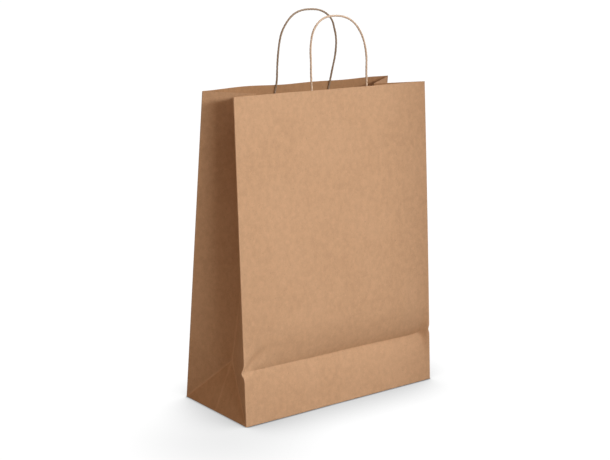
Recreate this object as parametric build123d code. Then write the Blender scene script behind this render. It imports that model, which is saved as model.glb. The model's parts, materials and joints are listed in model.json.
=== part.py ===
from build123d import *
import os
from math import acos, asin, cos, degrees, radians, sin

# A paper carrier bag standing open on its block bottom. Millimetres, +Z up, the front looks along -Y.
# The origin is on the floor, under the middle of the bottom. The body of the bag is one folded sheet, so
# each flat piece between two fold lines is a solid of its own, held a little back from its fold lines.

# Driving dimensions
bag_width = 320.0
bag_depth = 140.0
wall_height = 420.0
mouth_depth = 70.0           # front to back between the top edges, as the open bag stands
crease_height = bag_depth / 2
paper = 0.16
fold_gap = 0.4

# Bottom flaps
flap_pitch = 0.2             # from one glued layer to the next
flap_overlap = 30.0
base_height = 3 * flap_pitch

# Handles, the same at the front and the rear
cord_radius = 1.5
handle_span = 90.0
handle_offset = 6.0
loop_height = 95.0           # from the wall's top edge to the middle of the cord at the crown
bend_height = 2.0            # the cord bends this far above the top edge
bend_gap = 0.3

# Patches that hold the cords inside the walls
patch_width = 150.0
patch_height = 45.0
patch_drop = 16.0            # from the wall's top edge to the patch's top edge
patch_paper = 0.2
patch_slack = 0.05
cord_tail = 38.0             # length of cord between the patch's two layers

# Glued lap of the side seam
lap_width = 16.0

# Worked out from the driving dimensions
half_width = bag_width / 2
half_depth = bag_depth / 2
wall_lean = degrees(asin((half_depth - mouth_depth / 2) / wall_height))
gusset_fold = degrees(acos(mouth_depth / 2 / (half_depth * cos(radians(wall_lean)))))
gusset_inset = 0.5           # from a wall's outer face to the line its gusset folds on
triangle_lean = 21.0
cord_depth = paper + patch_paper + cord_radius + patch_slack / 2
bend_level = wall_height + bend_height
cord_places = [handle_offset - handle_span / 2, handle_offset + handle_span / 2]

INTO_FRONT = Vector(0, 1, 0)
UP = Vector(0, 0, 1)


def paper_facet(corners, inward):
    """A flat piece of the sheet with its outer face on these corners, held back from its edges."""
    edge = corners[1] - corners[0]
    normal = edge.cross(corners[2] - corners[0])
    if normal.dot(inward) < 0:
        normal = normal * -1
    plane = Plane(origin=corners[0], x_dir=edge, z_dir=normal)
    outline = make_face(Polyline(*[plane.to_local_coords(corner) for corner in corners], close=True))
    outline = offset(outline, amount=-fold_gap, kind=Kind.INTERSECTION)
    return plane * extrude(outline, paper, dir=(0, 0, 1))


# Walls are drawn upright with the outer face on Y = 0 and the inside of the bag at +Y, and then leaned.

def lean_wall(shape):
    return Pos(0, -half_depth, base_height) * Rot(-wall_lean, 0, 0) * shape


def plate(width, thickness, low, high, centre=0.0, front=0.0):
    """An upright rectangle of sheet from one height to another."""
    middle = Pos(centre, front + thickness / 2, (low + high) / 2)
    return middle * Box(width, thickness, high - low)


def patch_backing():
    high = wall_height - patch_drop
    return plate(patch_width, patch_paper, high - patch_height, high, handle_offset, paper)


def patch_cover():
    """The patch's inner layer, embossed over both cord tails."""
    backing_face = paper + patch_paper
    layer = Pos(handle_offset, backing_face + patch_paper / 2) * Rectangle(patch_width, patch_paper)
    for place in cord_places:
        layer += Pos(place, cord_depth) * Circle(cord_radius + patch_slack + patch_paper)
    for place in cord_places:
        layer -= Pos(place, cord_depth) * Circle(cord_radius + patch_slack)
    layer -= Pos(handle_offset, backing_face - patch_height / 2) * Rectangle(patch_width, patch_height)
    high = wall_height - patch_drop
    return Pos(0, 0, high - patch_height) * extrude(layer, patch_height, dir=(0, 0, 1))


def cord_ends():
    """Both lower ends of a cord, from inside the patch to just under the bend."""
    low = wall_height - patch_drop - cord_tail
    high = bend_level - cord_radius - bend_gap
    ends = [Pos(place, cord_depth, (low + high) / 2) * Cylinder(cord_radius, high - low) for place in cord_places]
    return Compound(children=ends)


def handle_loop():
    """The free arch of a cord, with a round end on the bend line at each foot."""
    crown_radius = handle_span / 2
    spring = wall_height + loop_height - crown_radius
    feet = [Vector(place, cord_depth, bend_level) for place in cord_places]
    shoulders = [Vector(place, cord_depth, spring) for place in cord_places]
    crown = Vector(handle_offset, cord_depth, spring + crown_radius)
    line = Wire([
        Edge.make_line(feet[0], shoulders[0]),
        Edge.make_three_point_arc(shoulders[0], crown, shoulders[1]),
        Edge.make_line(shoulders[1], feet[1]),
    ])
    loop = sweep(Plane(origin=feet[0], z_dir=UP) * Circle(cord_radius), path=line)
    for foot in feet:
        loop += Pos(foot) * Sphere(cord_radius)
    return loop


def wall_pieces():
    """What the front and the rear wall have in common, leaned as the front wall."""
    pieces = {
        "patch_backing": patch_backing(),
        "patch_cover": patch_cover(),
        "handle_cord_ends": cord_ends(),
        "handle_loop": handle_loop(),
    }
    return {name: lean_wall(shape) for name, shape in pieces.items()}


def gusset_pieces():
    """The left gusset's front half and its base triangle. The other three halves are mirror images."""
    lean = radians(wall_lean)
    fold = radians(gusset_fold)
    hinge_foot = Vector(-half_width, -half_depth + gusset_inset, base_height)
    up_wall = Vector(0, sin(lean), cos(lean))
    along_wing = Vector(sin(fold), cos(fold) * cos(lean), -cos(fold) * sin(lean))
    wing_top = hinge_foot + up_wall * wall_height
    centre_top = wing_top + along_wing * ((half_depth - gusset_inset - wall_height * sin(lean)) / along_wing.Y)
    base_middle = Vector(-half_width, 0, base_height)
    tilt = radians(triangle_lean)
    triangle_tip = base_middle + Vector(sin(tilt), 0, cos(tilt)) * crease_height
    rear_foot = Vector(-half_width, half_depth - gusset_inset, base_height)
    inside = Vector(1, -0.5, 0)
    return {
        "front_wing": paper_facet([hinge_foot, wing_top, centre_top], inside),
        "front_fold": paper_facet([hinge_foot, centre_top, triangle_tip], inside),
        "base_triangle": paper_facet([hinge_foot, triangle_tip, rear_foot], Vector(1, 0, 0)),
    }


def end_flap(level, reach):
    """A bottom flap folded in from the front edge, with its corners cut on 45 degree lines."""
    corners = [
        Vector(-half_width, -half_depth, level),
        Vector(half_width, -half_depth, level),
        Vector(half_width - reach, reach - half_depth, level),
        Vector(reach - half_width, reach - half_depth, level),
    ]
    return paper_facet(corners, UP)


def side_flap(level):
    """A bottom flap folded in from the left edge, a triangle with its tip on the middle line."""
    corners = [
        Vector(-half_width, -half_depth, level),
        Vector(-half_width, half_depth, level),
        Vector(half_depth - half_width, 0, level),
    ]
    return paper_facet(corners, UP)


def build_nodes():
    nodes = {}

    flap_reach = half_depth + flap_overlap / 2
    nodes["bottom_front_flap"] = end_flap(0, flap_reach)
    nodes["bottom_back_flap"] = mirror(end_flap(flap_pitch, flap_reach), about=Plane.XZ)
    nodes["bottom_left_flap"] = side_flap(2 * flap_pitch)
    nodes["bottom_right_flap"] = mirror(side_flap(2 * flap_pitch), about=Plane.YZ)

    nodes["front_lower_strip"] = lean_wall(plate(bag_width, paper, fold_gap, crease_height - fold_gap))
    nodes["front_panel"] = lean_wall(plate(bag_width, paper, crease_height + fold_gap, wall_height))
    back_panel = lean_wall(plate(bag_width, paper, fold_gap, wall_height))
    nodes["back_panel"] = mirror(back_panel, about=Plane.XZ)
    lap_middle = lap_width / 2 + fold_gap - half_width
    lap = lean_wall(plate(lap_width, paper, fold_gap, wall_height, lap_middle, paper))
    nodes["side_seam_lap"] = mirror(lap, about=Plane.XZ)

    for name, shape in wall_pieces().items():
        nodes["front_" + name] = shape
        nodes["rear_" + name] = mirror(shape, about=Plane.XZ)

    left = gusset_pieces()
    for name in ("wing", "fold"):
        left["back_" + name] = mirror(left["front_" + name], about=Plane.XZ)
    for name, shape in left.items():
        nodes["left_gusset_" + name] = shape
        nodes["right_gusset_" + name] = mirror(shape, about=Plane.YZ)
    return nodes


os.makedirs("parts", exist_ok=True)
for node_name, node_shape in build_nodes().items():
    export_step(node_shape, "parts/" + node_name + ".step")
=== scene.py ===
import json
import math

import bmesh
import bpy
import numpy as np
from mathutils import Matrix, Vector


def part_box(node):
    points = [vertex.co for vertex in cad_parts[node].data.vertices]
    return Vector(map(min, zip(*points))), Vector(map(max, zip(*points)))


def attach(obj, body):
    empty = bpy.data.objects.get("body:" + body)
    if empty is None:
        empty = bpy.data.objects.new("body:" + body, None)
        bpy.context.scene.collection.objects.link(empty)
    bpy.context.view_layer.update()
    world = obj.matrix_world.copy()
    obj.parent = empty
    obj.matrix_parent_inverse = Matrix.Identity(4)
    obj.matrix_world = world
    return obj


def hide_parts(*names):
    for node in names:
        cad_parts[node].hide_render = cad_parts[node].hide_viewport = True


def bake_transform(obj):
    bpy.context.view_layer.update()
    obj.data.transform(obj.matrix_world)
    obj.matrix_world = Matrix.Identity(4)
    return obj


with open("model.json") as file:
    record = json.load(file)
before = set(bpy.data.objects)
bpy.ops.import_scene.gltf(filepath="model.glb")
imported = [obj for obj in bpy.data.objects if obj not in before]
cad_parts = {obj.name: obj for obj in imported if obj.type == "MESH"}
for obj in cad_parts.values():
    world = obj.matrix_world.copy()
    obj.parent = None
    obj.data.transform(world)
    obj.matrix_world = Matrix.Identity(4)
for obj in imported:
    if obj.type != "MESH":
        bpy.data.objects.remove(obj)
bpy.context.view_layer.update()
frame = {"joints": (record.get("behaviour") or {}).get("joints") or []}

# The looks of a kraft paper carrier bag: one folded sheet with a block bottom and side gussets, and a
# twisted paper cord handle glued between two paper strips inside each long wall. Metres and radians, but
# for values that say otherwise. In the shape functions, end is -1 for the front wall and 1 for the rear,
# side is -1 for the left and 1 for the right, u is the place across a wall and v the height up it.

MM = 0.001
TINY = 1e-6


# ---------------------------------------------------------------- places and sizes, from the frame

JOINTS = {joint["name"]: joint for joint in frame["joints"]}
FRONT_HINGE = Vector(JOINTS["front_wall_lean"]["pos_m"])
WALL_UP = -Vector(JOINTS["left_front_wing_turn"]["axis"]).normalized()
FOLD_LINE = Vector(JOINTS["left_front_fold_turn"]["axis"]).normalized()
HALF_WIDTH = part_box("front_panel")[1].x
HALF_DEPTH = -FRONT_HINGE.y
BASE = FRONT_HINGE.z


def up_wall(level):
    """A level above the floor as a height up the leaning wall."""
    return (level - BASE) / WALL_UP.z


WALL_HEIGHT = up_wall(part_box("front_panel")[1].z)
PATCH_LOW, PATCH_HIGH = (up_wall(corner.z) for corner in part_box("front_patch_backing"))
PATCH_LEFT, PATCH_RIGHT = (corner.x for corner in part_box("front_patch_backing"))
LAP_LOW_X, LAP_HIGH_X = (corner.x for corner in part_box("side_seam_lap"))
LOOP_CENTRE = sum(corner.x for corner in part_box("front_handle_loop")) / 2
TAIL_LOW = up_wall(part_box("front_handle_cord_ends")[0].z)
BEND_LEVEL = up_wall(JOINTS["front_handle_swing"]["pos_m"][2])

PAPER = 0.25 * MM                # the walls, the gussets and the seam lap
STRIP = 0.25 * MM                # the patch strips
FLAP_PAPER = 0.16 * MM           # the bottom flaps, whose layers lie close together
GLUE = 0.02 * MM                 # between two glued layers
FOLD_RADIUS = 0.9 * MM


# ---------------------------------------------------------------- small helpers

def ease(t):
    """A smooth step from 0 to 1."""
    t = np.clip(t, 0.0, 1.0)
    return t * t * (3 - 2 * t)


def bell(distance, width):
    return np.exp(-(distance / width) ** 2)


SETTLE_SHIFT = -2.0 * MM         # how far the mouth has moved along Y
SETTLE_TWIST = 6.0 * MM          # and how much further along Y its right end is than its left
SETTLE_FLARE = 0.11              # how much wider the mouth stands at its right end than at its left


def settle(points):
    """The slight shift, twist and flare of the standing bag, growing with height."""
    moved = np.array(points, float)
    share = moved[..., 2] / (WALL_HEIGHT * WALL_UP.z)
    place = moved[..., 0] / (2 * HALF_WIDTH)
    moved[..., 1] *= 1 + SETTLE_FLARE * share * (0.5 + place)
    moved[..., 1] += share * (SETTLE_SHIFT + SETTLE_TWIST * place)
    return moved


WAVE_TURN = 6.28
LONG_ACROSS, LONG_UP, SWELL_UP = 0.23, 0.31, 0.37        # wavelengths
SHORT_ACROSS, SHORT_UP = 0.11, 0.17
SHORT_SHARE = 0.4


def waves(u, v, size, phase):
    """Gentle unevenness of a standing sheet: long waves that swell and fade, and short slanting ones."""
    slanting = np.sin(WAVE_TURN * (u / LONG_ACROSS + v / LONG_UP) + phase)
    swell = np.sin(WAVE_TURN * v / SWELL_UP + 0.4 * phase)
    short = np.sin(WAVE_TURN * (u / SHORT_ACROSS - v / SHORT_UP) + 2.1 * phase)
    return size * (slanting * swell + SHORT_SHARE * short)


# ---------------------------------------------------------------- the shape of the walls

CREASE_LEVEL = HALF_DEPTH - 1.5 * MM     # the front wall's cross crease, at the middle of the wall
CREASE_FALL = 4.0 * MM                   # from its left end to its right end
CREASE_WAVER, CREASE_WAVER_RATE = 0.25 * MM, 40
CREASE_LIFT = 3.5 * MM                   # it rises again close to the right corner
CREASE_LIFT_WIDTH = 12 * MM
CREASE_DEPTH = 6.8 * MM
LEFT_DEPTH, DEPTH_GAIN = 0.56, 1.15      # shares of that depth at the left end, and gained to the right end
DEPTH_WAVER, DEPTH_WAVER_RATE, DEPTH_WAVER_PHASE = 0.08, 21, 0.6
LEFT_REACH, REACH_GAIN = 0.75, 0.45      # the same for how far up the rounding goes
NEAR_ROUNDING = 8 * MM                   # the wall above the crease rounds off quickly, and then slowly
FAR_ROUNDING = 22 * MM
NEAR_SHARE = 0.45
BELOW_ROUNDING = 30 * MM
CREASE_LEFT_END = 18 * MM                # how far from each corner the crease fades out
CREASE_RIGHT_END = 11 * MM

DIMPLE_DEPTH = 2.9 * MM                  # a slanting hollow that runs up from the knuckle
DIMPLE_WIDTH = 6.5 * MM
DIMPLE_START = 69 * MM
DIMPLE_SLOPE = 0.8
DIMPLE_SQUARE = 0.78                     # from a height above the slanting line to the distance from it
DIMPLE_START_FADE = 4 * MM
DIMPLE_FADE_FROM, DIMPLE_FADE_OVER = 14 * MM, 34 * MM

BELLY = 4.0 * MM                         # the wall bulges out above the crease
BELLY_RISE = 46 * MM
BELLY_FADE_FROM, BELLY_FADE_OVER = 60 * MM, 250 * MM
BELLY_EDGE = 60 * MM

FRONT_WAVES, FRONT_PHASE = 0.35 * MM, 1.3
REAR_WAVES, REAR_PHASE = 0.5 * MM, 3.9
REAR_EDGE = 30 * MM                      # how far from each corner the rear wall's unevenness fades out
REAR_BULGE = 1.6 * MM
REAR_BULGE_LEVEL, REAR_BULGE_WIDTH = 170 * MM, 110 * MM

KNUCKLE_LEVEL = 70 * MM                  # the crumpled end of the crease on the left corner edge
KNUCKLE_WIDTH = 5.5 * MM
KNUCKLE_OUT = 3.6 * MM
NOTCH_LEVEL = 72 * MM                    # and on the right corner edge
NOTCH_WIDTH = 4 * MM
NOTCH_IN = 1.0 * MM
EDGE_BUMP_BACK = 0.8 * MM
EDGE_BUMP_REACH = 5 * MM

IMPRINT_HEIGHT, IMPRINT_WIDTH = 0.6 * MM, 2.4 * MM       # of the cord tails, seen from outside
IMPRINT_FADE_FROM, IMPRINT_FADE_OVER = -4 * MM, 10 * MM

TOP_BUMP, TOP_BUMP_PLACE, TOP_BUMP_WIDTH = 1.5 * MM, -105 * MM, 45 * MM
TOP_RIPPLE, TOP_RIPPLE_RATE = 0.4 * MM, 60
TOP_FADE = 40 * MM
FRONT_TOP_SHARE = 0.2                    # the front wall's top edge is this much as ragged as the rear's


def fold_angle(v):
    """How far the gusset has folded in at a height, 0 at the floor."""
    return np.arccos(np.clip(1 - v * WALL_UP.y / HALF_DEPTH, -1, 1))


def edge_shift(side, end, v):
    """Bumps of a corner edge, as (outwards along X, inwards along Y). Only the front edges have them."""
    if end > 0:
        return 0 * v, 0 * v
    if side < 0:
        bump = bell(v - KNUCKLE_LEVEL, KNUCKLE_WIDTH)
        return KNUCKLE_OUT * bump, EDGE_BUMP_BACK * bump
    notch = bell(v - NOTCH_LEVEL, NOTCH_WIDTH)
    return -NOTCH_IN * notch, EDGE_BUMP_BACK * notch


def crease_height(u, share):
    """The height of the front wall's cross crease at a place across it."""
    level = CREASE_LEVEL - CREASE_FALL * (share - 0.5) + CREASE_WAVER * np.sin(CREASE_WAVER_RATE * u)
    return level + CREASE_LIFT * bell(HALF_WIDTH - u, CREASE_LIFT_WIDTH)


def cross_crease(u, away, share):
    """Depth of the crease, at a height above it. It is deeper and wider to the right."""
    waver = DEPTH_WAVER * np.sin(DEPTH_WAVER_RATE * u + DEPTH_WAVER_PHASE)
    deep = CREASE_DEPTH * (LEFT_DEPTH + DEPTH_GAIN * share + waver)
    reach = LEFT_REACH + REACH_GAIN * share
    rise = np.maximum(away, 0)
    above = NEAR_SHARE * np.exp(-rise / (NEAR_ROUNDING * reach))
    above = above + (1 - NEAR_SHARE) * np.exp(-rise / (FAR_ROUNDING * reach))
    below = np.exp(np.minimum(away, 0) / BELOW_ROUNDING) * (1 + away / CREASE_LEVEL)
    return deep * np.where(away > 0, above, below)


def dimple(u, v):
    run = u + HALF_WIDTH
    off_line = DIMPLE_SQUARE * (v - DIMPLE_START - DIMPLE_SLOPE * run)
    fade = (1 - ease((run - DIMPLE_FADE_FROM) / DIMPLE_FADE_OVER)) * ease(run / DIMPLE_START_FADE)
    return DIMPLE_DEPTH * bell(off_line, DIMPLE_WIDTH) * fade


def front_relief(u, v):
    """Depth of the front wall's outer face below its flat plane."""
    share = (u + HALF_WIDTH) / (2 * HALF_WIDTH)
    away = v - crease_height(u, share)
    inside = ease((HALF_WIDTH - u) / CREASE_RIGHT_END) * ease((HALF_WIDTH + u) / CREASE_LEFT_END)
    belly = ease(away / BELLY_RISE) * (1 - ease((away - BELLY_FADE_FROM) / BELLY_FADE_OVER))
    belly = BELLY * belly * ease((HALF_WIDTH - abs(u)) / BELLY_EDGE)
    sheet = (cross_crease(u, away, share) + waves(u, v, FRONT_WAVES, FRONT_PHASE)) * inside
    return sheet + dimple(u, v) - belly + imprint(u, v, -1)


def back_relief(u, v):
    """Depth of the rear wall's outer face below its flat plane."""
    inside = ease((HALF_WIDTH - abs(u)) / REAR_EDGE)
    bulge = REAR_BULGE * bell(v - REAR_BULGE_LEVEL, REAR_BULGE_WIDTH)
    return (waves(u, v, REAR_WAVES, REAR_PHASE) - bulge) * inside + imprint(u, v, 1)


def relief(end, u, v):
    return front_relief(u, v) if end < 0 else back_relief(u, v)


def imprint(u, v, end):
    """The ridges that the glued cord tails press into the outside of a wall."""
    rise = ease((v - TAIL_LOW - IMPRINT_FADE_FROM) / IMPRINT_FADE_OVER)
    return sum(-IMPRINT_HEIGHT * bell(u - place, IMPRINT_WIDTH) * rise for place in cord_feet(end))


def wall_point(end, u, v, inward):
    """A point of a wall, with inward measured from the flat outer plane."""
    x = np.asarray(u, float) + 0 * v
    y = end * (HALF_DEPTH - v * WALL_UP.y - inward * WALL_UP.z)
    z = BASE + v * WALL_UP.z - inward * WALL_UP.y
    return np.stack([x, y + 0 * x, z + 0 * x], -1)


def wall_surface(end, u, v, inward=0.0):
    """The same, with inward measured from the uneven outer face."""
    return wall_point(end, u, v, relief(end, u, v) + inward)


def levels():
    """Heights up a wall, close together where the sheet is creased."""
    foot, lower, crease = np.arange(0, 12, 1.5), np.arange(12, 56, 2.75), np.arange(56, 90, 0.8)
    upper, top = np.arange(90, 130, 2.0), np.linspace(130, WALL_HEIGHT / MM, 105)
    return np.unique(np.concatenate([foot, lower, crease, upper, top])) * MM


def levels_with_tip():
    """The same, with one of them exactly at the tip of the gusset's base triangle."""
    return np.unique(np.append(levels(), HALF_DEPTH).round(7))


def columns():
    """Places across a wall between its two rounded edges, close together near them."""
    reach = HALF_WIDTH - FOLD_RADIUS
    marks = np.concatenate([np.arange(0, 24, 1.6) * MM, np.linspace(24 * MM, reach, 56)])
    marks = reach - marks[::-1]
    return np.unique(np.concatenate([-marks, marks]).round(7))


def ragged_top(end, u, v):
    """How far the top edge is from straight, mostly at the rear."""
    near_top = ease((v - WALL_HEIGHT + TOP_FADE) / TOP_FADE) * ease((HALF_WIDTH - abs(u)) / REAR_EDGE)
    bump = TOP_BUMP * bell(u - TOP_BUMP_PLACE, TOP_BUMP_WIDTH)
    ripple = TOP_RIPPLE * np.sin(TOP_RIPPLE_RATE * u)
    return (bump + ripple) * near_top * (1 if end > 0 else FRONT_TOP_SHARE)


ARC_STEPS = 7
BOTTOM_STEPS = 6


def corner_arc(v):
    """Places across and depths of a corner fold's section, from its far end to the wall's face."""
    last = math.pi / 2 + float(fold_angle(np.array(v)))
    angles = np.linspace(last, 0, ARC_STEPS)
    return HALF_WIDTH - FOLD_RADIUS + FOLD_RADIUS * np.sin(angles), FOLD_RADIUS * (1 - np.cos(angles))


def wall_grid(end):
    """Outer face of a wall with its rounded bottom fold and rounded corner folds."""
    bottom_turns = np.linspace(math.pi / 2, 0, BOTTOM_STEPS)[:-1]
    rows = [(0.0, turn) for turn in bottom_turns] + [(v, 0.0) for v in levels()]
    middle = columns()
    grid = []
    for v, turn in rows:
        across, depth = corner_arc(v)
        u = np.concatenate([-across, middle, across[::-1]])
        depth = np.concatenate([depth, 0 * middle, depth[::-1]])
        depth += relief(end, np.clip(u, -HALF_WIDTH, HALF_WIDTH), v + 0 * u)
        depth += FOLD_RADIUS * (1 - math.cos(turn))
        point = wall_point(end, u, v + ragged_top(end, u, v), depth)
        point[:, 2] = np.maximum(point[:, 2] - min(FOLD_RADIUS * math.sin(turn), BASE), 0.0)
        for side in (-1, 1):
            out, back = edge_shift(side, end, np.array(v))
            fade = np.exp(-abs(HALF_WIDTH - side * u) / EDGE_BUMP_REACH)
            point[:, 0] += side * out * fade
            point[:, 1] -= end * back * fade
        grid.append(point)
    return np.array(grid)


# ---------------------------------------------------------------- the shape of the gussets

TUCK, TUCK_GAIN = 0.93, 0.055    # how deep the middle fold is, as a share of the most, and gained at the top
FOLD_DROP = 0.008                # how much lower the middle fold ends than the walls, as a share of height
TIP_SAG = 4.2 * MM               # how much the middle fold sags at the base triangle's tip
TIP_SAG_REACH = 80 * MM
GUSSET_WAVES = 0.45 * MM
GUSSET_FLAT_FOOT = 90 * MM       # height up to which the waves grow
GUSSET_DENT = 0.7 * MM           # the front halves are pressed in level with the tip
GUSSET_DENT_WIDTH = 6 * MM
TRIANGLE_PINCH = 0.6 * MM        # the base triangle is pressed out along its middle
NEAR_SHARES, FAR_SHARES = [0, 0.02, 0.05, 0.09], [0.95, 0.97, 0.985, 1.0]
GUSSET_SHARES = np.concatenate([NEAR_SHARES, np.linspace(0.13, 0.93, 21), FAR_SHARES])
RIM_SHARES = np.array([0, 0.008, 0.02, 0.04])
MIDDLE_SHARES = [np.linspace(0.07, 0.47, 12), [0.488, 0.5, 0.512], np.linspace(0.53, 0.93, 12)]
TRIANGLE_SHARES = np.concatenate([RIM_SHARES, *MIDDLE_SHARES, 1 - RIM_SHARES[::-1]])


def corner_end(side, end, v):
    """Where the wall's rounded corner fold ends and the gusset starts."""
    angle = fold_angle(v)
    across = side * (HALF_WIDTH - FOLD_RADIUS + FOLD_RADIUS * np.cos(angle))
    point = wall_point(end, across, v, FOLD_RADIUS * (1 + np.sin(angle)))
    out, back = edge_shift(side, end, v)
    point[..., 0] += side * out
    point[..., 1] -= end * back
    return point


def centre_crease(side, v):
    """The gusset's middle fold, above the base triangle."""
    gap = HALF_DEPTH - v * WALL_UP.y
    reach = np.sqrt(np.maximum(HALF_DEPTH ** 2 - gap ** 2, 0))
    share = v / WALL_HEIGHT
    inset = reach * (TUCK + TUCK_GAIN * share)
    sag = TIP_SAG * np.exp(-np.maximum(v - HALF_DEPTH, 0) / TIP_SAG_REACH)
    height = BASE + v * (WALL_UP.z - FOLD_DROP * share) - sag
    return np.stack([side * (HALF_WIDTH - inset), 0 * v, height], -1)


def triangle_tip(side):
    return centre_crease(side, np.array(HALF_DEPTH))


def inner_line(side, end, v):
    """The far edge of a gusset half: the diagonal up to the triangle's tip, then the middle fold."""
    low = corner_end(side, end, np.array(0.0))
    share = np.clip(v / HALF_DEPTH, 0, 1)[..., None]
    diagonal = low + (triangle_tip(side) - low) * share
    return np.where((v > HALF_DEPTH)[..., None], centre_crease(side, v), diagonal)


def gusset_grid(side, end):
    """A gusset half, from the wall's corner edge to the far edge."""
    heights = levels_with_tip()
    near = corner_end(side, end, heights)
    smooth_edge = near.copy()
    out, back = edge_shift(side, end, heights)
    smooth_edge[:, 0] -= side * out
    smooth_edge[:, 1] += end * back
    far = inner_line(side, end, heights)
    grid = []
    for share in GUSSET_SHARES:
        middle = math.sin(math.pi * share)
        line = smooth_edge + (far - smooth_edge) * share
        run = np.linalg.norm(far - smooth_edge, axis=-1) * share
        line += (near - smooth_edge) * np.exp(-run / EDGE_BUMP_REACH)[:, None]
        bow = waves(line[:, 0] * 2, heights, GUSSET_WAVES, 2.0 + side + 0.7 * end)
        line[:, 0] += bow * middle * ease(heights / GUSSET_FLAT_FOOT)
        if end < 0:
            dent = GUSSET_DENT * np.exp(-abs(heights - HALF_DEPTH) / GUSSET_DENT_WIDTH)
            line[:, 0] -= side * dent * abs(middle) ** 0.5
        grid.append(line)
    return np.array(grid).transpose(1, 0, 2)


def triangle_grid(side):
    """A gusset's base triangle, from its front edge to its rear edge."""
    heights = levels_with_tip()
    heights = heights[heights <= HALF_DEPTH + TINY]
    front = inner_line(side, -1, heights)
    back = inner_line(side, 1, heights)
    grid = []
    for share in TRIANGLE_SHARES:
        line = front + (back - front) * share
        pinch = (1 - abs(2 * share - 1)) * np.sin(math.pi * np.clip(heights / HALF_DEPTH, 0, 1))
        line[:, 0] += side * TRIANGLE_PINCH * pinch
        grid.append(line)
    return np.array(grid).transpose(1, 0, 2)


# ---------------------------------------------------------------- sheets of paper as closed meshes

WEAR_AND_HIGHLIGHT_WIDTH = 2.3 * MM
WEAR_AND_HIGHLIGHT_FROM, WEAR_AND_HIGHLIGHT_OVER = 80 * MM, 120 * MM


def grid_normals(grid):
    normal = np.cross(np.gradient(grid, axis=1), np.gradient(grid, axis=0))
    length = np.linalg.norm(normal, axis=-1, keepdims=True)
    mean = normal.reshape(-1, 3).sum(0)
    mean = mean / np.linalg.norm(mean)
    return np.where(length > 1e-12, normal / np.maximum(length, 1e-12), mean)


def crease_wear_and_highlight(grid, creases):
    """How much lighter each point is made, from its distance to the given rows and columns of the grid:
    rubbed paper, and painted highlight where a fold catches the light.
    """
    wear = np.zeros(grid.shape[:2])
    for kind, place, low_wear, high_wear in creases:
        line = grid[:, [place]] if kind == "column" else grid[[place], :]
        away = np.linalg.norm(grid - line, axis=-1)
        level = ease((grid[..., 2] - WEAR_AND_HIGHLIGHT_FROM) / WEAR_AND_HIGHLIGHT_OVER)
        amount = low_wear + (high_wear - low_wear) * level
        wear = np.maximum(wear, amount * bell(away, WEAR_AND_HIGHLIGHT_WIDTH))
    return wear


def add_attribute(mesh, name, values):
    attribute = mesh.attributes.new(name, "FLOAT", "POINT")
    attribute.data.foreach_set("value", values.astype(np.float32))


def closed_sheet(name, grid, thickness, inward, creases=()):
    """A sheet with this grid as its outer face, thickened towards inward, a direction. Each crease is a row
    or column of the grid, its place, and how much lighter it is made low down and high up: rubbed paper, and
    painted highlight on folds."""
    rows, cols = grid.shape[:2]
    layer = rows * cols
    normal = grid_normals(grid)
    if (normal.reshape(-1, 3).mean(0) * np.array(inward)).sum() < 0:
        normal = -normal
    points = np.concatenate([grid.reshape(-1, 3), (grid + normal * thickness).reshape(-1, 3)])
    index = np.arange(layer).reshape(rows, cols)
    faces = []
    for r in range(rows - 1):
        for c in range(cols - 1):
            corners = (index[r, c], index[r, c + 1], index[r + 1, c + 1], index[r + 1, c])
            faces.append(corners)
            faces.append([corner + layer for corner in corners[::-1]])
    rim = list(index[0, :]) + list(index[1:, -1]) + list(index[-1, -2::-1]) + list(index[-2:0:-1, 0])
    for one, two in zip(rim, rim[1:] + rim[:1]):
        faces.append((two, one, one + layer, two + layer))
    obj = mesh_object(name, settle(points), faces)
    add_attribute(obj.data, "crease_wear_and_highlight", np.tile(crease_wear_and_highlight(grid, creases).ravel(), 2))
    add_attribute(obj.data, "inner_face", np.repeat([0.0, 1.0], layer))
    clean(obj)
    return obj


def mesh_object(name, points, faces):
    mesh = bpy.data.meshes.new(name)
    mesh.from_pydata([tuple(p) for p in points], [], [tuple(int(i) for i in f) for f in faces])
    obj = bpy.data.objects.new(name, mesh)
    bpy.context.scene.collection.objects.link(obj)
    return obj


def clean(obj, sharp_degrees=40):
    """Joins coincident points, turns the faces outwards and shades the mesh smooth but for its rims."""
    work = bmesh.new()
    work.from_mesh(obj.data)
    bmesh.ops.remove_doubles(work, verts=work.verts, dist=2 * TINY)
    bmesh.ops.dissolve_degenerate(work, edges=work.edges, dist=TINY)
    bmesh.ops.recalc_face_normals(work, faces=work.faces)
    work.to_mesh(obj.data)
    work.free()
    obj.data.shade_smooth()
    obj.data.set_sharp_from_angle(angle=math.radians(sharp_degrees))


# ---------------------------------------------------------------- handles

CORD_RADIUS = 1.35 * MM
CORD_DEPTH = PAPER + STRIP + CORD_RADIUS
SMOOTHINGS = 60
STRANDS = 3
TWIST = 15 * MM                  # length of cord in which the strands go round once
AROUND = 36
GROOVE = 0.20                    # depth of the grooves between the strands, as a share of the radius
CORD_STEP = 0.55 * MM
CORD_UNEVEN, CORD_UNEVEN_RATE = 0.3 * MM, 23     # sideways, over the height of the loop
CORD_WOBBLE, CORD_WOBBLE_RATE = 0.25 * MM, 150   # to the front and rear
CORD_WOBBLE_FADE = 10 * MM
CORD_SWELL, CORD_SWELL_RATE = 0.035, 210         # shares of the radius, slow and fast
CORD_LUMP, CORD_LUMP_RATE = 0.025, 470
TAIL_POINTS, LEG_POINTS, ARCH_POINTS = 28, 22, 73

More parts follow.
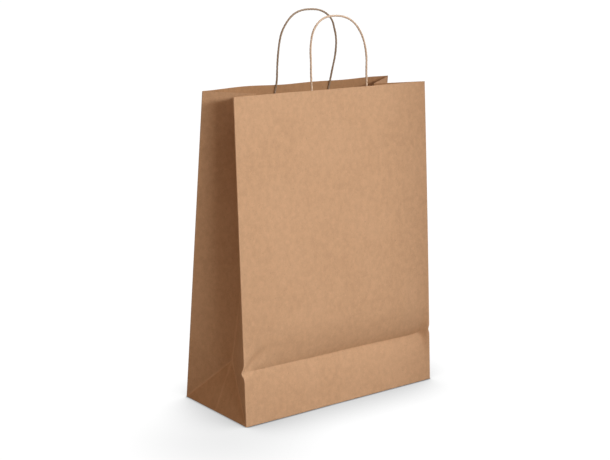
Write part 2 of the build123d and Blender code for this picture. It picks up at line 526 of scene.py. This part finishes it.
# The two cords as they stand in the photo, in millimetres. middle is from the CAD loop's middle, span is
# between the feet, bulge is how far each leg bows out, spring and crown are heights above the wall's top
# edge, and lean and sway push the crown and the legs sideways. power is how square the arch is, and slant
# is how much the tails lean inside the patch.
FRONT_LOOP = dict(middle=3.2, span=92.4, bulge=0.5, spring=36, crown=93.3, lean=-4.6, sway=0.4, power=2.45,
                  slant=0.0)
REAR_LOOP = dict(middle=-0.7, span=92.6, bulge=3.0, spring=40, crown=98.4, lean=2.0, sway=2.6, power=2.5,
                 slant=0.16)
LOOPS = {-1: FRONT_LOOP, 1: REAR_LOOP}


def cord_feet(end):
    """Where the cord crosses the wall's top edge."""
    loop = LOOPS[end]
    middle = LOOP_CENTRE + loop["middle"] * MM
    return [middle - loop["span"] / 2 * MM, middle + loop["span"] / 2 * MM]


def cord_line(end):
    """The middle line of a cord as (place across, height up the wall), from one tail to the other."""
    loop = LOOPS[end]
    left, right = cord_feet(end)
    middle = (left + right) / 2
    half = loop["span"] / 2 * MM + loop["bulge"] * MM
    spring = WALL_HEIGHT + loop["spring"] * MM
    crown = WALL_HEIGHT + loop["crown"] * MM

    def tail(foot):
        v = np.linspace(TAIL_LOW, WALL_HEIGHT, TAIL_POINTS)
        return np.column_stack([foot - loop["slant"] * (WALL_HEIGHT - v), v])

    def leg(foot, shoulder):
        v = np.linspace(WALL_HEIGHT, spring, LEG_POINTS)
        share = ease((v - WALL_HEIGHT) / (spring - WALL_HEIGHT))
        return np.column_stack([foot + (shoulder - foot) * share, v])

    angle = np.linspace(0, math.pi, ARCH_POINTS)
    across = np.copysign(abs(np.cos(angle)) ** (2 / loop["power"]), np.cos(angle))
    rise = abs(np.sin(angle)) ** (2 / loop["power"])
    arch_u = middle - half * across + loop["lean"] * MM * rise ** 2
    arch = np.column_stack([arch_u, spring + (crown - spring) * rise])

    left_side = [tail(left), leg(left, middle - half)[1:-1]]
    right_side = [leg(right, middle + half)[-2::-1], tail(right)[-2::-1]]
    line = np.concatenate([*left_side, arch, *right_side])
    height = np.clip((line[:, 1] - WALL_HEIGHT) / (crown - WALL_HEIGHT), 0, 1)
    uneven = CORD_UNEVEN * np.sin(height * CORD_UNEVEN_RATE + end) * height
    line[:, 0] += loop["sway"] * MM * np.sin(math.pi * height) + uneven
    return even_steps(line, CORD_STEP)


def along_line(line):
    """The length of the line up to each of its points."""
    return np.concatenate([[0], np.cumsum(np.linalg.norm(np.diff(line, axis=0), axis=1))])


def even_steps(line, step):
    """The same line in even steps, with its corners softened."""
    run = along_line(line)
    places = np.linspace(0, run[-1], int(run[-1] / step))
    even = np.stack([np.interp(places, run, line[:, k]) for k in range(line.shape[1])], -1)
    for _ in range(SMOOTHINGS):
        even[1:-1] = (even[:-2] + 2 * even[1:-1] + even[2:]) / 4
    return even


def unit_rows(vectors):
    return vectors / np.linalg.norm(vectors, axis=1, keepdims=True)


def cord(name, end):
    """A three-strand twisted cord, with closed ends."""
    flat = cord_line(end)
    wobble = CORD_WOBBLE * np.sin(flat[:, 1] * CORD_WOBBLE_RATE + end)
    wobble = wobble * ease((flat[:, 1] - WALL_HEIGHT) / CORD_WOBBLE_FADE)
    line = wall_point(end, flat[:, 0], flat[:, 1], CORD_DEPTH + wobble)
    line[:, 1] -= end * relief(end, flat[:, 0], np.minimum(flat[:, 1], WALL_HEIGHT))
    tangent = unit_rows(np.gradient(line, axis=0))
    sideways = unit_rows(np.cross(tangent, [0, -end * WALL_UP.z, -WALL_UP.y]))
    lift = np.cross(sideways, tangent)
    points = []
    for k, run in enumerate(along_line(line)):
        turn = 2 * math.pi * run / TWIST
        swell = 1 + CORD_SWELL * math.sin(run * CORD_SWELL_RATE + end)
        swell += CORD_LUMP * math.sin(run * CORD_LUMP_RATE)
        for step in range(AROUND):
            angle = 2 * math.pi * step / AROUND
            strand = abs(math.cos(STRANDS / 2 * (angle - turn)))
            radius = CORD_RADIUS * swell * (1 - GROOVE + GROOVE * strand ** 0.8)
            points.append(line[k] + radius * (math.cos(angle) * sideways[k] + math.sin(angle) * lift[k]))
    last_ring = len(points) - AROUND
    faces = []
    for first in range(0, last_ring, AROUND):
        for step in range(AROUND):
            a, b = first + step, first + (step + 1) % AROUND
            faces.append((a, b, b + AROUND, a + AROUND))
    for first, middle in ((0, line[0]), (last_ring, line[-1])):
        points.append(middle)
        for step in range(AROUND):
            faces.append((first + step, first + (step + 1) % AROUND, len(points) - 1))
    obj = mesh_object(name, settle(points), faces)
    clean(obj, sharp_degrees=75)
    return obj


COVER_TRIM = 1.5 * MM            # the cover strip is this much smaller than the backing on every side
COVER_SKIRT = 1.3 * MM           # how wide the paper slopes down beside a cord
COVER_SLACK = 0.25 * MM
COVER_ROUND, COVER_RISE = 1.25, 2.1      # the ridge over a cord: its radius and its height, in cord radii
STRIP_RIPPLE = 0.05 * MM


def patch(name, end, layer):
    """One paper strip of a handle patch. Layer 0 lies on the wall, layer 1 goes over the cords."""
    trim = COVER_TRIM * layer
    u, v = np.meshgrid(np.linspace(PATCH_LEFT + trim, PATCH_RIGHT - trim, 201),
                       np.linspace(PATCH_LOW + trim, PATCH_HIGH - trim, 31))
    inward = PAPER + GLUE + layer * (STRIP + GLUE) + 0 * u
    if layer:
        for foot in cord_feet(end):
            gap = abs(u - foot + LOOPS[end]["slant"] * (WALL_HEIGHT - v))
            round_top = np.sqrt(np.maximum((CORD_RADIUS * COVER_ROUND) ** 2 - gap ** 2, 0)) + CORD_RADIUS
            skirt = COVER_RISE * CORD_RADIUS * np.exp(-np.maximum(gap - CORD_RADIUS, 0) / COVER_SKIRT)
            inward = np.maximum(inward, inward + np.minimum(round_top + COVER_SLACK, skirt))
    grid = wall_surface(end, u, v, inward)
    grid[..., 1] += STRIP_RIPPLE * np.sin(u * 300 + v * 210)
    return closed_sheet(name, grid, STRIP, (0, -end, 0))


# ---------------------------------------------------------------- bottom

FLAP_LIFT = 0.1 * MM


def bottom_flap(name, fold, free, level, cols=70, rows=24):
    """A flap at a level above the floor. fold and free are the left and right ends of its fold line and of
    its free edge."""
    grid = []
    for share in np.linspace(0, 1, rows):
        left, right = (np.array(a) + (np.array(b) - np.array(a)) * share for a, b in zip(fold, free))
        line = left + (right - left) * np.linspace(0, 1, cols)[:, None]
        lift = FLAP_LIFT * (1 + np.sin(line[:, 0] * 60 + line[:, 1] * 45)) * min(1.0, 4 * share)
        grid.append(np.column_stack([line, level + lift]))
    rubbed = [(kind, place, 0.9, 0.9) for kind, place in (("row", -1), ("column", 0), ("column", -1))]
    return closed_sheet(name, np.array(grid), FLAP_PAPER, (0, 0, 1), rubbed)


# ---------------------------------------------------------------- materials

def new_material(name):
    """A material with its node tree."""
    material = bpy.data.materials.new(name)
    material.use_nodes = True
    return material, material.node_tree


def noise(tree, source, stretch, size, detail=3.0, rough=0.55):
    """Noise in object space, stretched along each axis."""
    mapping = tree.nodes.new("ShaderNodeMapping")
    mapping.inputs["Scale"].default_value = stretch
    tree.links.new(source, mapping.inputs["Vector"])
    node = tree.nodes.new("ShaderNodeTexNoise")
    node.inputs["Scale"].default_value = size
    node.inputs["Detail"].default_value = detail
    node.inputs["Roughness"].default_value = rough
    tree.links.new(mapping.outputs["Vector"], node.inputs["Vector"])
    return node.outputs["Fac"]


def ramp(tree, source, low, high, at_low=0.0, at_high=1.0):
    """A smooth step of a value from one level to another."""
    node = tree.nodes.new("ShaderNodeMapRange")
    settings = (("From Min", low), ("From Max", high), ("To Min", at_low), ("To Max", at_high))
    for socket, value in settings:
        node.inputs[socket].default_value = value
    node.interpolation_type = "SMOOTHSTEP"
    tree.links.new(source, node.inputs["Value"])
    return node.outputs["Result"]


def mix_colour(tree, factor, below, above, mode="MIX"):
    node = tree.nodes.new("ShaderNodeMix")
    node.data_type = "RGBA"
    node.blend_type = mode
    for socket, value in (("Factor", factor), ("A", below), ("B", above)):
        target = [i for i in node.inputs if i.name == socket and (i.type == "RGBA" or socket == "Factor")][0]
        if isinstance(value, bpy.types.NodeSocket):
            tree.links.new(value, target)
        else:
            target.default_value = value
    return [o for o in node.outputs if o.type == "RGBA"][0]


def product(tree, one, two):
    node = tree.nodes.new("ShaderNodeMath")
    node.operation = "MULTIPLY"
    tree.links.new(one, node.inputs[0])
    tree.links.new(two, node.inputs[1])
    return node.outputs[0]


def bump(tree, height, strength, distance, under=None):
    """A bumped normal, on top of another one where it is given."""
    node = tree.nodes.new("ShaderNodeBump")
    node.inputs["Strength"].default_value = strength
    node.inputs["Distance"].default_value = distance
    tree.links.new(height, node.inputs["Height"])
    if under:
        tree.links.new(under, node.inputs["Normal"])
    return node.outputs["Normal"]


def attribute(tree, name):
    node = tree.nodes.new("ShaderNodeAttribute")
    node.attribute_name = name
    return node.outputs["Fac"]


def scaled(colour, *factors):
    """A colour with each channel multiplied, by one factor or by one for each, as a shader's RGBA."""
    if len(factors) == 1:
        factors = factors * 3
    return tuple(min(channel * factor, 1.0) for channel, factor in zip(colour, factors)) + (1.0,)


INNER_SIDE_AND_SHADE = (0.86, 0.79, 0.70)      # the inside of the paper, against its outside: partly its rougher inner side, partly painted shade inside the bag


def kraft(name, colour, grain=1.0):
    """Brown kraft paper: cloudy formation, fine fibres along the sheet, dark and light flecks."""
    material, tree = new_material(name)
    shader = tree.nodes["Principled BSDF"]
    place = tree.nodes.new("ShaderNodeTexCoord").outputs["Object"]
    base = scaled(colour, 1.0)
    darker = scaled(colour, 0.70)
    bark = scaled(colour, 0.55)
    lighter = scaled(colour, 1.14, 1.19, 1.26)
    # lighter creases: rubbed paper, and painted highlight on the front wall's corner folds
    rubbed = scaled(colour, 1.35, 1.45, 1.55)

    cloud = noise(tree, place, (1, 1, 0.8), 150, detail=5, rough=0.7)
    soft = noise(tree, place, (1, 1, 1), 14, detail=2)
    fibre = noise(tree, place, (1, 1, 0.22), 1500, detail=2, rough=0.6)
    cross = noise(tree, place, (0.3, 0.3, 1), 1150, detail=2, rough=0.6)
    fleck = noise(tree, place, (1, 1, 0.5), 620, detail=1, rough=0.4)
    shade = mix_colour(tree, ramp(tree, cloud, 0.30, 0.72, 0.55, 1), darker, base)
    shade = mix_colour(tree, ramp(tree, soft, 0.35, 0.7, 0.0, 0.16), shade, lighter)
    shade = mix_colour(tree, ramp(tree, fibre, 0.56, 0.74, 0, 0.55 * grain), shade, lighter)
    shade = mix_colour(tree, ramp(tree, cross, 0.58, 0.75, 0, 0.5 * grain), shade, darker)
    shade = mix_colour(tree, ramp(tree, fleck, 0.72, 0.80, 0, 0.45 * grain), shade, bark)
    # painted highlight along the front wall's corner folds, and rubbed paper along the other creases
    wear_and_highlight = ramp(tree, attribute(tree, "crease_wear_and_highlight"), 0.0, 1.0, 0, 0.8)
    shade = mix_colour(tree, wear_and_highlight, shade, rubbed)
    # painted shade inside the bag on the inner faces, together with the paper's darker inner side
    shade = mix_colour(tree, attribute(tree, "inner_face"), shade, scaled(INNER_SIDE_AND_SHADE, 1.0), "MULTIPLY")
    tree.links.new(shade, shader.inputs["Base Color"])

    tree.links.new(ramp(tree, fibre, 0.3, 0.7, 0.92, 0.78), shader.inputs["Roughness"])
    shader.inputs["Specular IOR Level"].default_value = 0.25
    cockle = noise(tree, place, (1, 1, 1), 120, detail=4, rough=0.6)
    coarse = bump(tree, cockle, 0.25, 0.4 * MM)
    tree.links.new(bump(tree, fibre, 0.35, 0.12 * MM, coarse), shader.inputs["Normal"])
    return material


def cord_material(name, colour):
    """Twisted paper: fine wrinkles, and painted shade in the grooves between the strands."""
    material, tree = new_material(name)
    shader = tree.nodes["Principled BSDF"]
    place = tree.nodes.new("ShaderNodeTexCoord").outputs["Object"]
    base = scaled(colour, 1.0)
    darker = scaled(colour, 0.62)
    wrinkle = noise(tree, place, (1, 1, 1), 1400, detail=4, rough=0.65)
    ridge = tree.nodes.new("ShaderNodeNewGeometry").outputs["Pointiness"]
    shade = mix_colour(tree, ramp(tree, wrinkle, 0.35, 0.62), darker, base)
    # painted shade: darker where the surface curves into the grooves
    shade = mix_colour(tree, ramp(tree, ridge, 0.42, 0.5, 0.75, 0), shade, darker)
    tree.links.new(shade, shader.inputs["Base Color"])
    shader.inputs["Roughness"].default_value = 0.8
    shader.inputs["Specular IOR Level"].default_value = 0.3
    tree.links.new(bump(tree, wrinkle, 0.5, 0.15 * MM), shader.inputs["Normal"])
    return material


SHEET = kraft("kraft_sheet", (0.622, 0.402, 0.243))
STRIP_PAPER = kraft("kraft_strip", (0.57, 0.34, 0.20), grain=0.8)
# both cords are one paper: the front cord's lighter tone is painted light, the rear cord's darker tone is
# painted shade
CORD_PAPER = {-1: cord_material("front_cord_painted_light", (0.82, 0.65, 0.50)),
              1: cord_material("rear_cord_painted_shade", (0.48, 0.38, 0.285))}


# ---------------------------------------------------------------- build the pieces

SIDES = ((-1, "left"), (1, "right"))
HALF_BEND = 18 * MM              # half the width of a band across the middle of a gusset half


def add(obj, material, slot, body, *nodes):
    """Shows a piece that rides on one body in place of these CAD nodes."""
    obj.data.materials.append(material)
    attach(obj, body)
    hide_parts(*nodes)


def add_bending(obj, material, slot, bodies, start, end, *nodes):
    """Shows a piece in place of these CAD nodes, fixed where it stands on no body. bodies, start and end are
    not used.
    """
    obj.data.materials.append(material)
    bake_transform(obj)
    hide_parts(*nodes)


def build_walls():
    # painted highlight: the front wall's rounded corner folds are made lighter where they catch the light
    corner_fold_highlights = (("column", ARC_STEPS // 2, 0.4, 0.3), ("column", -1 - ARC_STEPS // 2, 0.4, 0.3))
    front = closed_sheet("front_wall_sheet", wall_grid(-1), PAPER, (0, 1, 0), corner_fold_highlights)
    add(front, SHEET, "kraft_sheet", "front_wall", "front_panel", "front_lower_strip")
    back = closed_sheet("back_wall_sheet", wall_grid(1), PAPER, (0, -1, 0))
    add(back, SHEET, "kraft_sheet", "back_wall", "back_panel")
    u, v = np.meshgrid(np.linspace(LAP_LOW_X + 1.0 * MM, LAP_HIGH_X, 9), levels()[1:])
    lap = closed_sheet("side_seam_lap_sheet", wall_surface(1, u, v, PAPER + GLUE), PAPER, (0, -1, 0))
    add(lap, SHEET, "kraft_sheet", "back_wall", "side_seam_lap")


def build_gusset_half(side, side_name, end, end_name):
    """A gusset half, one sheet in place of the two CAD nodes that share its diagonal line."""
    name = side_name + "_gusset_" + end_name
    rubbed = (("column", -1, 0.55, 0.12),)
    half = closed_sheet(name + "_half", gusset_grid(side, end), PAPER, (-side, 0, 0), rubbed)
    foot = Vector((side * HALF_WIDTH, end * HALF_DEPTH, BASE))
    along = Vector((-side * FOLD_LINE.x, -end * FOLD_LINE.y, FOLD_LINE.z))
    to_tip = Vector(triangle_tip(side)) - foot
    across = (to_tip - along * to_tip.dot(along)).normalized()
    middle = foot + along * WALL_HEIGHT / 2
    body = side_name + "_" + end_name
    add_bending(half, SHEET, "kraft_sheet", (body + "_wing", body + "_fold"), middle - across * HALF_BEND,
                middle + across * HALF_BEND, name + "_wing", name + "_fold")


def build_gussets():
    middle_column = len(TRIANGLE_SHARES) // 2
    rubbed = (("column", 0, 0.55, 0.55), ("column", middle_column, 0.4, 0.4), ("column", -1, 0.55, 0.55))
    for side, side_name in SIDES:
        for end, end_name in ((-1, "front"), (1, "back")):
            build_gusset_half(side, side_name, end, end_name)
        name = side_name + "_gusset_base_triangle"
        triangle = closed_sheet(name + "_sheet", triangle_grid(side), PAPER, (-side, 0, 0), rubbed)
        add(triangle, SHEET, "kraft_sheet", side_name + "_base_triangle", name)


def build_bottom():
    fold_y = HALF_DEPTH - FOLD_RADIUS - 0.25 * MM
    front_free_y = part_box("bottom_front_flap")[1].y
    back_free_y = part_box("bottom_back_flap")[0].y
    free_x = HALF_WIDTH - (front_free_y + HALF_DEPTH)
    flap = bottom_flap("bottom_front_flap_sheet", ((-HALF_WIDTH, -fold_y), (HALF_WIDTH, -fold_y)),
                       ((-free_x, front_free_y), (free_x, front_free_y)), 0.0)
    add(flap, SHEET, "kraft_sheet", "bottom", "bottom_front_flap")
    flap = bottom_flap("bottom_back_flap_sheet", ((HALF_WIDTH, fold_y), (-HALF_WIDTH, fold_y)),
                       ((free_x, back_free_y), (-free_x, back_free_y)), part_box("bottom_back_flap")[0].z)
    add(flap, SHEET, "kraft_sheet", "bottom", "bottom_back_flap")
    side_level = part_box("bottom_left_flap")[0].z
    for side, side_name in SIDES:
        name = "bottom_" + side_name + "_flap"
        fold_x = side * (HALF_WIDTH - FOLD_RADIUS)
        tip = (side * (HALF_WIDTH - HALF_DEPTH), 0.0)
        flap = bottom_flap(name + "_sheet", ((fold_x, side * fold_y), (fold_x, -side * fold_y)), (tip, tip),
                           side_level, cols=40)
        add(flap, SHEET, "kraft_sheet", "bottom", name)


def build_handles():
    bend_from, bend_to = BEND_LEVEL - 3 * MM, BEND_LEVEL + 7 * MM
    for end, place, wall in ((-1, "front", "front_wall"), (1, "rear", "back_wall")):
        for layer, kind in enumerate(("backing", "cover")):
            node = place + "_patch_" + kind
            add(patch(node + "_strip", end, layer), STRIP_PAPER, "kraft_patch", wall, node)
        start, stop = (Vector(wall_point(end, np.array(0.0), np.array(v), 0.0)) for v in (bend_from, bend_to))
        add_bending(cord(place + "_cord", end), CORD_PAPER[end], "paper_cord", (wall, place + "_handle"),
                    start, stop, place + "_handle_cord_ends", place + "_handle_loop")


build_walls()
build_gussets()
build_bottom()
build_handles()


# ---------------------------------------------------------------- floor, light and camera

FLOOR_SIZE = 30.0
FLOOR_DROP = 0.05 * MM
FLOOR_LIT = (0.38, 0.36, 0.34, 1)        # what the bag sees of the floor
SHADE_REACH, CONTACT_REACH = 0.12, 0.006
POOL_CENTRE = (-HALF_WIDTH - 0.05, -HALF_DEPTH - 0.02, 0)
POOL_RADIUS = 0.17
GLOW_DROP = 0.03 * MM
GLOW_INSET = 1 * MM
GLOW = 0.35


def level_plane(name, half_x, half_y, level):
    corners = [(-half_x, -half_y, 0), (half_x, -half_y, 0), (half_x, half_y, 0), (-half_x, half_y, 0)]
    plane = mesh_object(name, corners, [(0, 1, 2, 3)])
    plane.location.z = level
    return plane


def nearness(tree, reach, samples):
    """How open the floor is to the sky, within a reach."""
    node = tree.nodes.new("ShaderNodeAmbientOcclusion")
    node.inputs["Distance"].default_value = reach
    node.samples = samples
    return node.outputs["AO"]


def floor_brightness(tree):
    """White, with a soft shadow, a thin contact shadow and a faint pool of shade by the left corner."""
    soft = ramp(tree, nearness(tree, SHADE_REACH, 24), 0.35, 0.98, 0.58, 1.04)
    contact = ramp(tree, nearness(tree, CONTACT_REACH, 16), 0.50, 0.95, 0.22, 1.0)
    away = tree.nodes.new("ShaderNodeVectorMath")
    away.operation = "DISTANCE"
    away.inputs[1].default_value = POOL_CENTRE
    tree.links.new(tree.nodes.new("ShaderNodeNewGeometry").outputs["Position"], away.inputs[0])
    pool = ramp(tree, away.outputs["Value"], 0.0, POOL_RADIUS, 0.84, 1.0)
    return product(tree, product(tree, soft, contact), pool)


def mix_shaders(tree, factor, below, above):
    node = tree.nodes.new("ShaderNodeMixShader")
    for socket, source in zip(node.inputs, (factor, below, above)):
        tree.links.new(source, socket)
    return node.outputs[0]


def floor():
    """A floor that the camera sees as white with soft shadows, or not at all from below."""
    material, tree = new_material("pale_floor")
    tree.nodes.remove(tree.nodes["Principled BSDF"])
    lit = tree.nodes.new("ShaderNodeBsdfDiffuse")
    lit.inputs["Color"].default_value = FLOOR_LIT
    white = tree.nodes.new("ShaderNodeEmission")
    white.inputs["Color"].default_value = (1, 1, 1, 1)
    tree.links.new(floor_brightness(tree), white.inputs["Strength"])
    clear = tree.nodes.new("ShaderNodeBsdfTransparent").outputs[0]
    from_below = tree.nodes.new("ShaderNodeNewGeometry").outputs["Backfacing"]
    to_camera = tree.nodes.new("ShaderNodeLightPath").outputs["Is Camera Ray"]
    seen = mix_shaders(tree, from_below, white.outputs[0], clear)
    surface = mix_shaders(tree, to_camera, lit.outputs[0], seen)
    tree.links.new(surface, tree.nodes["Material Output"].inputs["Surface"])
    plane = level_plane("floor", FLOOR_SIZE, FLOOR_SIZE, -FLOOR_DROP)
    plane.data.materials.append(material)


def under_glow():
    """A faint glow under the base, seen by no camera, so that the underside is not black from below."""
    material, tree = new_material("under_glow")
    glow = tree.nodes.new("ShaderNodeEmission")
    glow.inputs["Strength"].default_value = GLOW
    tree.links.new(glow.outputs[0], tree.nodes["Material Output"].inputs["Surface"])
    plane = level_plane("under_glow", HALF_WIDTH - GLOW_INSET, HALF_DEPTH - GLOW_INSET, -GLOW_DROP)
    plane.data.materials.append(material)
    plane.visible_camera = False


def direction(azimuth, elevation):
    """The way to a light or the camera. Azimuth 0 is straight in front of the bag, positive to the right, in
    degrees."""
    a, e = math.radians(azimuth), math.radians(elevation)
    return Vector((math.sin(a) * math.cos(e), -math.cos(a) * math.cos(e), math.sin(e)))


def softbox(name, towards, distance, size, power, colour=(1, 1, 1)):
    """An area light that looks at the middle of the bag."""
    data = bpy.data.lights.new(name, "AREA")
    data.shape = "RECTANGLE"
    data.size, data.size_y = size
    data.energy = power
    data.color = colour
    lamp = bpy.data.objects.new(name, data)
    bpy.context.scene.collection.objects.link(lamp)
    lamp.location = Vector((0, 0, WALL_HEIGHT / 2)) + towards * distance
    lamp.rotation_euler = (-towards).to_track_quat("-Z", "Y").to_euler()


def flag(name, towards, distance, low, high, width):
    """A card that keeps light from the right end of the bag. Its edge shades the line from low to high, and
    the camera does not see it."""
    low, high = Vector(low), Vector(high)
    across = Vector((0, 0, 1)).cross(towards).normalized() * width
    corners = [low, low + across, high + across, high]
    card = mesh_object(name, [corner + towards * distance for corner in corners], [(0, 1, 2, 3)])
    card.visible_camera = False
    card.visible_diffuse = False


def lights():
    key_side = direction(-6, 19)
    overhead_side = direction(62, 58)
    softbox("key", key_side, 1.85, size=(0.9, 0.20), power=14.6, colour=(1.0, 0.97, 0.93))
    softbox("overhead", overhead_side, 3.5, size=(1.5, 1.5), power=98, colour=(1.0, 1.04, 1.10))
    softbox("behind", direction(165, 35), 2.5, size=(1.5, 1.0), power=16)
    flag("overhead_flag", overhead_side, 0.75, low=(0.08, -0.05, -0.3), high=(0.08, -0.05, 0.9), width=0.9)
    flag("key_flag", key_side, 0.45, low=(0.17, -0.07, -0.02), high=(0.17, -0.03, 0.6), width=0.4)


def sky(colour, strength):
    """An even glow all round, which the camera sees as white."""
    world = bpy.data.worlds.new("studio")
    world.use_nodes = True
    tree = world.node_tree
    seen = tree.nodes.new("ShaderNodeLightPath").outputs["Is Camera Ray"]
    shade = mix_colour(tree, seen, scaled(colour, strength), (1.0, 1.0, 1.0, 1.0))
    tree.links.new(shade, tree.nodes["Background"].inputs["Color"])
    bpy.context.scene.world = world


CAMERA_AIM = Vector((0, 0, 0.2))
CAMERA_AZIMUTH, CAMERA_ELEVATION, CAMERA_DISTANCE = -38.49, 13.87, 1.8016
CAMERA_TILT = 13.07              # degrees that it looks down, slightly less than its elevation
CAMERA_ROLL = math.radians(0.94)


def camera():
    """Looks at the bag from its front left, as the photo does."""
    data = bpy.data.cameras.new("camera")
    data.sensor_width = 36.0
    data.lens = 78.55
    data.shift_x = -0.01433
    data.shift_y = -0.00217
    data.clip_start = 0.05
    data.clip_end = 100.0
    eye = bpy.data.objects.new("camera", data)
    bpy.context.scene.collection.objects.link(eye)
    back = direction(CAMERA_AZIMUTH, CAMERA_TILT)
    right = Vector((0, 0, 1)).cross(back).normalized()
    up = back.cross(right)
    rolled_right = math.cos(CAMERA_ROLL) * right + math.sin(CAMERA_ROLL) * up
    rolled_up = -math.sin(CAMERA_ROLL) * right + math.cos(CAMERA_ROLL) * up
    turn = Matrix((rolled_right, rolled_up, back)).transposed().to_4x4()
    place = CAMERA_AIM + direction(CAMERA_AZIMUTH, CAMERA_ELEVATION) * CAMERA_DISTANCE
    eye.matrix_world = Matrix.Translation(place) @ turn
    bpy.context.scene.camera = eye


floor()
under_glow()
lights()
sky((1.0, 0.61, 0.36), strength=0.31)
camera()
bpy.context.scene.view_settings.view_transform = "Standard"
bpy.context.scene.view_settings.look = "None"
